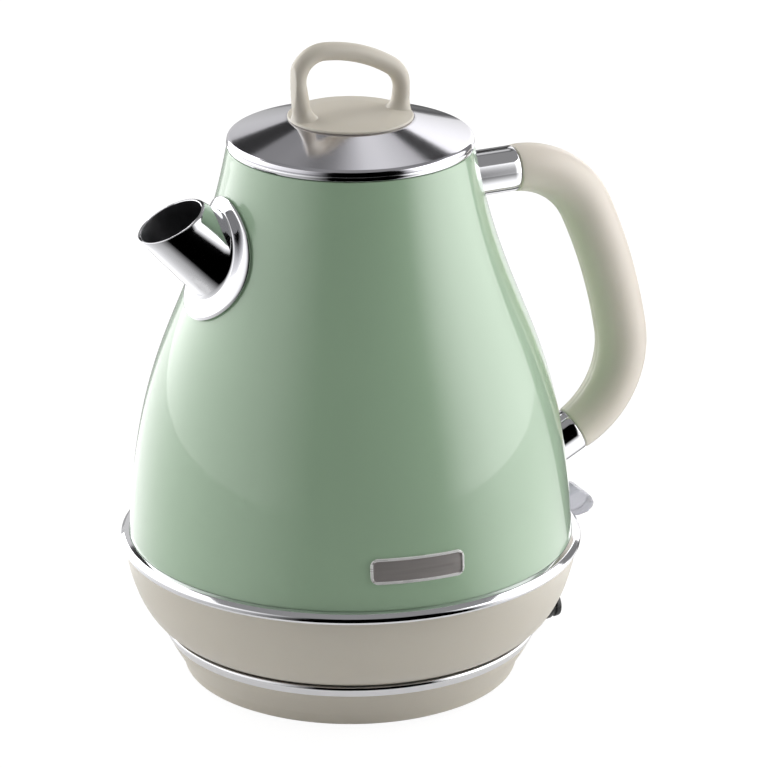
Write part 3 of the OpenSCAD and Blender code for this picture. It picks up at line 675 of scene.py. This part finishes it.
def shellRadius(z):
    if z <= shellProfile[0].y:
        return shellProfile[0].x
    for a, b in zip(shellProfile, shellProfile[1:]):
        if z <= b.y:
            return a.x + (b.x - a.x) * (z - a.y) / (b.y - a.y)
    return shellProfile[-1].x


shell = {"wall": 1.0, "lip": 41.5, "notch": 14.0, "ringR": 87.0,
         "holeFrom": (-34.9, 0, 155), "holeLength": 60, "holeR": 15}


def makeShell():
    outer = [(p.x, p.y) for p in shellProfile]
    inner = [(p.x - shell["wall"], p.y) for p in reversed(shellProfile) if p.y < mouthZ - 3]
    top = rounded([(mouthR, mouthZ - 0.9, 0), (mouthR, mouthZ, 0.8), (shell["lip"], mouthZ, 0.8),
                   (shell["lip"], mouthZ - 2, 0.4), (mouthR - shell["wall"], mouthZ - 2, 0.5),
                   (mouthR - shell["wall"] + 0.2, mouthZ - 3, 0)])[1:-1]
    skirt = footR - 0.4
    outline = [(skirt, footZ - 3.8), (skirt, footZ - 0.05)] + outer[:-1] + top + inner
    outline += [(skirt - shell["wall"], footZ - 3.8)]
    piece = turnedPiece("bodyShell", outline, materials["green_enamel"], 256)
    cutAway(piece, boxCutter((70, -shell["notch"] / 2, footZ - 6), (95, shell["notch"] / 2, footZ - 0.8)))
    cutAway(piece, rodCutter(shell["holeFrom"], spoutDirection, shell["holeLength"], shell["holeR"]))
    piece.data.set_sharp_from_angle(angle=math.radians(32))
    return addPiece(piece, "jug", "green_enamel", "body_shell")


def makeShellRing():
    z = ringLow[2]
    outline = rounded([(83.4, z, 0.1), (86.5, z, 0.5), (86.97, z + 1.0, 0.8), (86.97, z + 2.2, 0.9),
                       (85.4, z + 3.7, 1.2), (83.8, z + 4.1, 0.25), (83.4, z + 4.0, 0.1)], 8)
    half = math.degrees(math.asin(shell["notch"] / 2 / shell["ringR"]))
    piece = turnedPiece("shellRing", outline, materials["polished_steel"], 256, half, 360 - 2 * half)
    return addPiece(piece, "jug", "polished_steel", "shell_ring")


bowl = {"topR": 85.7, "footR": 70.5, "wall": 2.2}


def makeLowerHousing():
    z0, z1 = edges("lower_housing")[0][2], edges("lower_housing")[1][2]
    curve = [(bowl["footR"], z0), (bowl["topR"] - 3.7, z0 + 7), (bowl["topR"], z1)]
    outer = [tuple(bezier(curve, i / 40)) for i in range(41)]
    inner = [(r - bowl["wall"], z) for r, z in reversed(outer) if z > z0 + 2.4]
    foot = rounded([(bowl["footR"] - 3.4, z0 + 2.4, 0.3), (bowl["footR"] - 3.4, z0, 0.4),
                    (bowl["footR"] - 0.1, z0, 0.5), (bowl["footR"] + 0.3, z0 + 0.6, 0.3)])
    outline = foot[:-6] + outer[1:] + inner
    piece = turnedPiece("lowerHousing", outline, materials["cream_plastic"], 256)
    cutAway(piece, boxCutter((70, -shell["notch"] / 2, z1 - 5.8), (95, shell["notch"] / 2, z1 + 3)))
    return addPiece(piece, "jug", "cream_plastic", "lower_housing")


spout = {"tilt": 41.0, "collarTilt": 20.0, "collarR": 23.0, "mouthTilt": 62.5, "length": 27.0, "wall": 1.2,
         "rootR": 16.5, "farR": 12.6, "reach": 35.0}
spoutAngle = math.radians(180 - spout["tilt"])
spoutDirection = (math.cos(spoutAngle), 0, math.sin(spoutAngle))
collarCentre = Vector((-51.5, 0, 169.4))


def makeSpout():
    along = Vector(spoutDirection)
    acrossUp = Vector((math.sin(math.radians(spout["tilt"])), 0, math.cos(math.radians(spout["tilt"]))))
    side = Vector((0, 1, 0))
    root = collarCentre - along * 8
    mouth = collarCentre + along * spout["length"]
    tilt = math.radians(spout["mouthTilt"])
    mouthNormal = Vector((-math.cos(tilt), 0, math.sin(tilt)))
    collarAngle = math.radians(spout["collarTilt"])
    collarUp = Vector((math.sin(collarAngle), 0, math.cos(collarAngle)))
    collarOut = Vector((-math.cos(collarAngle), 0, math.sin(collarAngle)))
    count = 128

    def wall(s, turn, inset=0.0):
        radius = spout["rootR"] + (spout["farR"] - spout["rootR"]) * s / spout["reach"] - inset
        return root + along * s + (acrossUp * math.cos(turn) + side * math.sin(turn)) * radius

    def offShell(p):
        return math.hypot(p.x, p.y) - shellRadius(p.z)

    def wallAtShell(turn, inset, gap):
        low, high = -14.0, 40.0
        for _ in range(40):
            middle = (low + high) / 2
            if offShell(wall(middle, turn, inset)) < gap:
                low = middle
            else:
                high = middle
        return low

    def wallAtMouth(turn, inset):
        a, b = wall(0, turn, inset), wall(30, turn, inset)
        rate = (b - a).dot(mouthNormal) / 30
        return (mouth - a).dot(mouthNormal) / rate

    def onShell(turn, radius, gap):
        p = collarCentre + (collarUp * math.cos(turn) + side * math.sin(turn)) * radius
        low, high = -12.0, 12.0
        for _ in range(36):
            middle = (low + high) / 2
            if offShell(p + collarOut * middle) < gap:
                low = middle
            else:
                high = middle
        return p + collarOut * low

    verts = []
    rings = 0
    for j in range(count):
        turn = 2 * math.pi * j / count
        big = spout["collarR"]
        line = [onShell(turn, big - 0.5, 0.62), onShell(turn, big, 0.75), onShell(turn, big + 0.1, 1.15),
                onShell(turn, big - 0.25, 1.6), onShell(turn, big - 0.9, 1.8)]
        base = wallAtShell(turn, 0.0, 1.9)
        edge = onShell(turn, big - 2.6, 1.95)
        bend = wall(base, turn)
        end = wall(base + 1.3, turn)
        near = bend + (edge - bend).normalized() * 1.3
        line += [edge, edge.lerp(near, 0.5)] + [bezier([near, bend, end], k / 8) for k in range(9)]
        top = wallAtMouth(turn, 0.0)
        line += [wall(base + 1.3 + (top - 1.8 - base) * k / 8, turn) for k in range(1, 9)]
        line += [wall(top - 0.15, turn, 0.12), wall(top, turn, 0.4), wall(wallAtMouth(turn, 0.8), turn, 0.8),
                 wall(wallAtMouth(turn, 1.1) - 0.2, turn, 1.1)]
        inner = wallAtMouth(turn, spout["wall"]) - 0.7
        floor = wallAtShell(turn, spout["wall"], 0.65)
        line += [wall(inner + (floor - inner) * k / 8, turn, spout["wall"]) for k in range(9)]
        rings = len(line)
        verts += [p * mm for p in line]
    faces = bandFaces(count, rings, True, True)
    piece = finishMesh("spout", cleanMesh("spout", verts, faces), materials["polished_steel"], 40)
    # faces inside the tube take the dark steel, painted shade
    piece.data.materials.append(paintedShadeSteel)
    for face in piece.data.polygons:
        fromAxis = face.center / mm - root
        fromAxis -= along * fromAxis.dot(along)
        at = (face.center / mm - root).dot(along)
        tube = spout["rootR"] + (spout["farR"] - spout["rootR"]) * at / spout["reach"]
        if fromAxis.length < tube - 1.15 and face.normal.dot(fromAxis) < 0:
            face.material_index = 1
    return addPiece(piece, "jug", "polished_steel", "spout")


badge = {"long": 36.0, "tall": 9.8, "corner": 3.0, "azimuth": -96.6, "height": 71.9, "border": 1.0}


def makeBadge():
    # a bare plate with a raised border, wrapped round the shell
    def outlineAt(inset):
        a, b = badge["long"] / 2 - inset, badge["tall"] / 2 - inset
        r = min(max(badge["corner"] - inset, 0.3), b)
        points = []
        for cx, cy, start in ((a - r, b - r, 0), (-a + r, b - r, 90),
                              (-a + r, -b + r, 180), (a - r, -b + r, 270)):
            for k in range(9):
                t = math.radians(start + 90 * k / 8)
                points.append((cx + r * math.cos(t), cy + r * math.sin(t)))
            nxt = {0: (-a + r, b), 90: (-a, -b + r), 180: (a - r, -b), 270: (a, b - r)}[start]
            last = points[-1]
            for k in range(1, 8):
                points.append((last[0] + (nxt[0] - last[0]) * k / 8, last[1] + (nxt[1] - last[1]) * k / 8))
        return points

    def onShell(u, v, h):
        z = badge["height"] + v
        r = shellRadius(z) + h
        turn = math.radians(badge["azimuth"]) + u / r
        return (r * math.cos(turn) * mm, r * math.sin(turn) * mm, z * mm)

    levels = [(0.1, 0.02), (0.0, 0.3), (0.05, 0.62), (0.2, 0.82), (0.7, 0.86), (0.9, 0.72), (1.0, 0.42),
              (1.12, 0.36), (2.0, 0.36), (3.0, 0.36), (4.0, 0.36), (4.86, 0.36)]
    verts = []
    for inset, h in levels:
        verts += [onShell(u, v, h) for u, v in outlineAt(inset)]
    width = len(verts) // len(levels)
    faces = bandFaces(len(levels), width, True, False)
    faces.append(tuple(range(width)))
    faces.append(tuple(range((len(levels) - 1) * width, len(levels) * width)))
    mesh = cleanMesh("badgePlate", verts, faces)
    piece = finishMesh("badgePlate", mesh, borderSteel, 40)
    mesh.materials.append(plateSteel)
    middle = math.radians(badge["azimuth"])
    for face in mesh.polygons:
        x, y, z = face.center / mm
        turn = math.atan2(y, x) - middle
        inside = abs(turn) * shellRadius(z) < badge["long"] / 2 - badge["border"] - 0.12
        inside = inside and abs(z - badge["height"]) < badge["tall"] / 2 - badge["border"] - 0.12
        if inside and face.normal.dot(Vector((x, y, 0))) > 0:
            face.material_index = 1
    return addPiece(piece, "jug", "polished_steel", "badge_plate")


# a path in the plane of spout and handle: headings are angles above +X, and bends turn clockwise

def ahead(a):
    return Vector((math.cos(math.radians(a)), math.sin(math.radians(a))))


def rightOf(a):
    return Vector((math.sin(math.radians(a)), -math.cos(math.radians(a))))


def bendPath(start, radius, first, last, steps):
    centre = start + rightOf(first) * radius
    result = []
    for k in range(steps + 1):
        a = first + (last - first) * k / steps
        result.append((centre - rightOf(a) * radius, a))
    return result


handle = {"start": (46.0, mouthZ - 17.7), "rise": 1.0, "stub": 20.5, "shoulder": 33.4, "side": 203.0,
          "corner": 37.2, "headings": (-65.3, -80.0, -152.0), "gripR": 9.95, "endR": 8.85, "taper": 0.3,
          "ferruleR": 8.6, "seam": 0.16}


def gripPath():
    h = handle
    first = Vector(h["start"]) + ahead(h["rise"]) * h["stub"]
    path = bendPath(first, h["shoulder"], h["rise"], h["headings"][0], 40)
    path += bendPath(path[-1][0], h["side"], h["headings"][0], h["headings"][1], 30)[1:]
    path += bendPath(path[-1][0], h["corner"], h["headings"][1], h["headings"][2], 40)[1:]
    return path


def makeGrip(name, side, nodeName):
    # half of the grip, with a fine chamfer along the seam and rounded ends
    path = gripPath()
    lengths = [0.0]
    for (p, _), (q, _) in zip(path, path[1:]):
        lengths.append(lengths[-1] + (q - p).length)
    total = lengths[-1]
    stations = []
    for inset, shrink in ((0.0, 1.0), (0.05, 0.45), (0.3, 0.12)):
        stations.append((path[0][0] + ahead(path[0][1]) * inset, path[0][1], inset, shrink))
    stations += [(p, a, at, 0.0) for (p, a), at in zip(path, lengths) if 0.9 < at < total - 0.9]
    for inset, shrink in ((0.3, 0.12), (0.05, 0.45), (0.0, 1.0)):
        stations.append((path[-1][0] - ahead(path[-1][1]) * inset, path[-1][1], total - inset, shrink))
    verts = []
    width = 41
    for p, a, at, shrink in stations:
        share = at / total
        near = max(0.0, 1 - min(share, 1 - share) / handle["taper"])
        r = handle["gripR"] + (handle["endR"] - handle["gripR"]) * near * near - shrink
        normal = -rightOf(a)
        for k in range(width):
            t = math.pi * k / (width - 1)
            x, y = r * math.cos(t), r * math.sin(t)
            if k in (0, width - 1):
                x, y = x * (1 - handle["seam"] / r), 0.02
            verts.append(((p.x + normal.x * x) * mm, side * y * mm, (p.y + normal.y * x) * mm))
    faces = bandFaces(len(stations), width, True, False)
    faces += [tuple(range(width)), tuple(range((len(stations) - 1) * width, len(stations) * width))]
    piece = finishMesh(name, cleanMesh(name, verts, faces), litGripCream, 40)
    return addPiece(piece, "jug", "cream_plastic", nodeName)


def makeFerrule(name, outer, heading, length, nodeName):
    # turned bar from the shell to the grip, its inner end shaped to the shell
    r = handle["ferruleR"]
    direction = Vector((ahead(heading).x, 0, ahead(heading).y))
    up = Vector((-direction.z, 0, direction.x))
    side = Vector((0, 1, 0))
    outer = Vector((outer.x, 0, outer.y))
    verts = []
    count = 96
    rings = 0
    for j in range(count):
        turn = 2 * math.pi * j / count
        spoke = up * math.cos(turn) + side * math.sin(turn)

        def meet(radius, gap):
            low, high = -8.0, length + 30.0
            for _ in range(40):
                middle = (low + high) / 2
                p = outer - direction * middle + spoke * radius
                if math.hypot(p.x, p.y) - shellRadius(p.z) > gap:
                    low = middle
                else:
                    high = middle
            return low
        line = [outer - direction * meet(r - 2.0, 0.05) + spoke * (r - 2.0)]
        line += [outer - direction * meet(r, 0.05) + spoke * r]
        line += [outer - direction * meet(r, 0.6) + spoke * r]
        reach = meet(r, 0.6)
        line += [outer - direction * (reach * (1 - k / 8) + 0.8 * k / 8) + spoke * r for k in range(1, 9)]
        line += [outer - direction * 0.5 + spoke * (r - 0.12), outer - direction * 0.35 + spoke * (r - 0.5),
                 outer + spoke * (r - 0.6), outer + direction * 1.0 + spoke * (r - 3.0)]
        rings = len(line)
        verts += [p * mm for p in line]
    faces = bandFaces(count, rings, True, True)
    piece = finishMesh(name, cleanMesh(name, verts, faces), materials["polished_steel"], 35)
    return addPiece(piece, "jug", "polished_steel", nodeName)


knob = {"discR": 23.3, "tubeR": 3.38, "startX": -18.7, "headings": (99.5, -2.0, -32.5, -95.5), "leg": 13.9,
        "bends": (10.4, 52.0, 10.4), "lastLeg": 8.9, "flare": 1.6, "flareLength": 5.0}


def makeKnob():
    z = edges("lid_knob")[0][2]
    k = knob
    disc = rounded([(0, z, 0), (k["discR"] - 0.5, z, 0.3), (k["discR"], z + 0.45, 0.3),
                    (k["discR"] - 0.3, z + 1.1, 0.5), (k["discR"] - 8, z + 1.75, 6), (0, z + 2.15, 0)], 8)
    piece = turnedPiece("lidKnob", disc, materials["cream_plastic"], 160)
    up, top, far, down = k["headings"]
    start = Vector((k["startX"], z + 0.2))
    path = [(start + ahead(up) * k["leg"] * i / 16, up) for i in range(16)]
    path += bendPath(start + ahead(up) * k["leg"], k["bends"][0], up, top, 28)
    path += bendPath(path[-1][0], k["bends"][1], top, far, 14)[1:]
    path += bendPath(path[-1][0], k["bends"][2], far, down, 20)[1:]
    last = path[-1][0]
    path += [(last + ahead(down) * k["lastLeg"] * i / 14, down) for i in range(1, 15)]
    sides = 40
    verts = []
    for p, a in path:
        above = p.y - z - 1.6
        near = max(0.0, 1 - above / k["flareLength"])
        r = k["tubeR"] + k["flare"] * near ** 2.6
        normal = -rightOf(a)
        for i in range(sides):
            t = 2 * math.pi * i / sides
            x = p.x + normal.x * r * math.cos(t)
            y = r * math.sin(t)
            h = p.y + normal.y * r * math.cos(t)
            away = math.hypot(x, y)
            if away > k["discR"] - 0.4:
                x, y = x * (k["discR"] - 0.4) / away, y * (k["discR"] - 0.4) / away
            verts.append((x * mm, y * mm, max(h, z + 0.3) * mm))
    faces = bandFaces(len(path), sides, True, False)
    faces += [tuple(range(sides)), tuple(range((len(path) - 1) * sides, len(path) * sides))]
    loop = cleanMesh("loop", verts, faces)
    work = bmesh.new()
    work.from_mesh(piece.data)
    work.from_mesh(loop)
    work.to_mesh(piece.data)
    work.free()
    piece.data.shade_smooth()
    piece.data.set_sharp_from_angle(angle=math.radians(40))
    return addPiece(piece, "lid", "cream_plastic", "lid_knob")


lid = {"innerR": 39.4, "sheet": 1.2, "sheetIn": 0.9}


def makeLid():
    z0, z1 = mouthZ + 2, edges("lid_knob")[0][2]
    curve = [(mouthR - 0.1, z0 + 0.3), (mouthR - 0.15, z0 + 1.9), (mouthR - 1.7, z0 + 2.36)]
    outer = [(mouthR - 0.1, z0)] + [tuple(bezier(curve, i / 16)) for i in range(17)]
    outer += [(outer[-1][0] + (knob["discR"] - outer[-1][0]) * i / 20,
               outer[-1][1] + (z1 - outer[-1][1]) * i / 20) for i in range(1, 21)]
    outline = outer + [(0, z1), (0, z1 - lid["sheet"])]
    outline += [(r - lid["sheetIn"], z - lid["sheet"]) for r, z in reversed(outer)]
    cone = turnedPiece("lidCone", outline, lidShadedSteel, 256)
    addPiece(cone, "lid", "polished_steel", "lid_cone")
    z = mouthZ + 0.3
    rim = rounded([(lid["innerR"], z, 0), (mouthR - 0.1, z, 0.25), (mouthR + 0.05, z + 0.5, 0.4),
                   (mouthR + 0.05, z + 1.1, 0.4), (mouthR - 0.25, z + 1.72, 0.3), (mouthR - 1, z + 0.6, 0),
                   (lid["innerR"], z + 0.5, 0)], 6)
    piece = turnedPiece("lidRim", rim, materials["polished_steel"], 256)
    addPiece(piece, "lid", "polished_steel", "lid_rim")


def makeBase():
    low, high = edges("base_cover")
    z0 = low[2]
    deck = ringBaseLow[2]
    outline = rounded([(57.8, z0, 0.2), (60.2, z0, 1.6), (63.0, z0 + 1.5, 2.0), (64.2, z0 + 5.4, 4),
                       (68.6, z0 + 13, 4), (69.6, deck, 0.4), (18, deck, 1.0),
                       (17.4, deck + 1.6, 0.8), (12.4, high[2], 0.8),
                       (9.4, high[2], 0.4), (9.4, deck + 1.6, 0.2), (15, deck - 0.4, 0.2),
                       (15.8, deck - 2.2, 0.2), (65.4, deck - 2.2, 0.5), (65.6, z0 + 11.4, 0.5),
                       (61.8, z0 + 5, 0.5), (60.6, z0 + 3, 0.5),
                       (57.8, z0 + 2.2, 0.2)], 6)
    piece = turnedPiece("baseCover", outline, materials["cream_plastic"], 256)
    addPiece(piece, "base", "cream_plastic", "base_cover")
    z = ringBaseLow[2]
    h = ringBaseHigh[2] - z
    outline = rounded([(66.4, z, 0), (69.9, z, 0.2), (70.3, z + 0.8, 0.5), (71.3, z + h - 1.1, 0.7),
                       (71.0, z + h, 0.5), (66.4, z + h, 0.4)], 7)
    ring = turnedPiece("baseRing", outline, materials["polished_steel"], 256)
    addPiece(ring, "base", "polished_steel", "base_ring")


gland = {"z": 9.4, "r": 7.2, "endR": 5.0, "bore": 3.5, "ribs": 4, "ribShare": 0.62,
         "innerX": 50.2, "neckR": 5.0, "shoulderX": 61.5}


def makeGland():
    # tapered cord outlet with shallow flex grooves; its inner end is hidden in the base wall
    endX = edges("cord_gland")[1][0]
    g = gland
    points = [(g["innerX"], g["bore"], 0), (g["innerX"], g["neckR"], 0.2), (g["shoulderX"], g["neckR"], 0),
              (g["shoulderX"], g["r"], 0.1), (68.0, g["r"], 0.3)]
    start, stop = 69.5, endX - 2.2
    for i in range(gland["ribs"]):
        a = start + (stop - start) * i / gland["ribs"]
        b = start + (stop - start) * (i + gland["ribShare"]) / gland["ribs"]
        c = start + (stop - start) * (i + 1) / gland["ribs"]
        ra = gland["r"] + (gland["endR"] - gland["r"]) * i / gland["ribs"]
        rb = gland["r"] + (gland["endR"] - gland["r"]) * (i + gland["ribShare"]) / gland["ribs"]
        points += [(a, ra, 0.5), (b, rb, 0.5), (b + 0.2, rb - 0.9, 0.25), (c - 0.1, rb - 1.0, 0.25)]
    points += [(endX - 2.2, gland["endR"], 0.4), (endX, gland["endR"] - 0.3, 0.8), (endX, gland["bore"], 0.3)]
    outline = rounded(points, 4)
    verts = []
    count = 72
    for j in range(count):
        a = 2 * math.pi * j / count
        verts += [(x * mm, r * math.cos(a) * mm, (gland["z"] + r * math.sin(a)) * mm) for x, r in outline]
    faces = bandFaces(count, len(outline), True, True)
    piece = finishMesh("cordGland", cleanMesh("cordGland", verts, faces), materials["black_plastic"], 35)
    addPiece(piece, "base", "black_plastic", "cord_gland")


feet = {"count": 5, "ringR": 51.0, "first": -97.0, "r": 5.5, "steps": 48}

def makeFeet():
    top = edges("base_feet")[1][2]
    outline = rounded([(0, 0, 0), (4.9, 0, 0), (feet["r"], 0.5, 0.4), (5.4, top, 0.1), (0, top, 0)], 4)
    work = bmesh.new()
    for i in range(feet["count"]):
        turn = math.radians(feet["first"] + 360 / feet["count"] * i)
        centre = Vector((math.cos(turn), math.sin(turn), 0)) * feet["ringR"]
        verts = []
        for j in range(feet["steps"]):
            a = 2 * math.pi * j / feet["steps"]
            verts += [(centre + Vector((r * math.cos(a), r * math.sin(a), z))) * mm for r, z in outline]
        work.from_mesh(cleanMesh("foot", verts, bandFaces(feet["steps"], len(outline), True, True)))
    mesh = bpy.data.meshes.new("baseFeet")
    work.to_mesh(mesh)
    work.free()
    piece = finishMesh("baseFeet", mesh, materials["rubber"], 35)
    addPiece(piece, "base", "rubber", "base_feet")

lever = {"width": 12.0, "edge": 1.1,
         "outline": [(68, 51.2, 0.4), (84, 51.2, 2), (87.4, 50.6, 2), (89.4, 48.4, 2), (91.4, 47.4, 1.2),
                     (94.4, 47.2, 2), (98, 48, 1.5), (100, 49.8, 1.2), (100.6, 51.6, 1.2),
                     (99.4, 54.2, 2), (96.4, 57, 2),
                     (94.2, 57.8, 1.4), (91.3, 57.6, 2), (88.2, 55.8, 2), (86, 54.6, 2), (77, 54.6, 1),
                     (74, 55.4, 1), (68, 54, 0.6)]}


def makeLever():
    # the clear paddle and its arm, one moulding with soft edges along both sides
    outline = [Vector(p) for p in rounded(lever["outline"], 4)]
    n = len(outline)
    inward = []
    for i, p in enumerate(outline):
        along = (outline[(i + 1) % n] - outline[i - 1]).normalized()
        inward.append(Vector((-along.y, along.x)))
    half, edge = lever["width"] / 2, lever["edge"]
    verts = []
    corner = [math.pi / 2 * k / 5 for k in range(6)]
    levels = [(edge * (1 - math.sin(t)), half - edge * (1 - math.cos(t))) for t in corner]
    levels = [(inset, -y) for inset, y in levels] + levels[::-1]
    for inset, y in levels:
        verts += [((p.x + v.x * inset) * mm, y * mm, (p.y + v.y * inset) * mm)
                  for p, v in zip(outline, inward)]
    faces = bandFaces(len(levels), n, True, False)
    faces += [tuple(range(n)), tuple(range((len(levels) - 1) * n, len(levels) * n))]
    piece = finishMesh("switchLever", cleanMesh("switchLever", verts, faces), materials["clear_plastic"], 35)
    return addPiece(piece, "switch", "clear_plastic", "switch_lever")


makeShell()
makeShellRing()
makeLowerHousing()
makeSpout()
makeBadge()
makeGrip("gripLeft", 1, "grip_left")
makeGrip("gripRight", -1, "grip_right")
grips = gripPath()
makeFerrule("ferruleUpper", grips[0][0], handle["rise"], 22, "ferrule_upper")
makeFerrule("ferruleLower", grips[-1][0], handle["headings"][2] + 180, 16, "ferrule_lower")
makeLid()
makeKnob()
makeBase()
makeGland()
makeFeet()
makeLever()
print("pieces made")
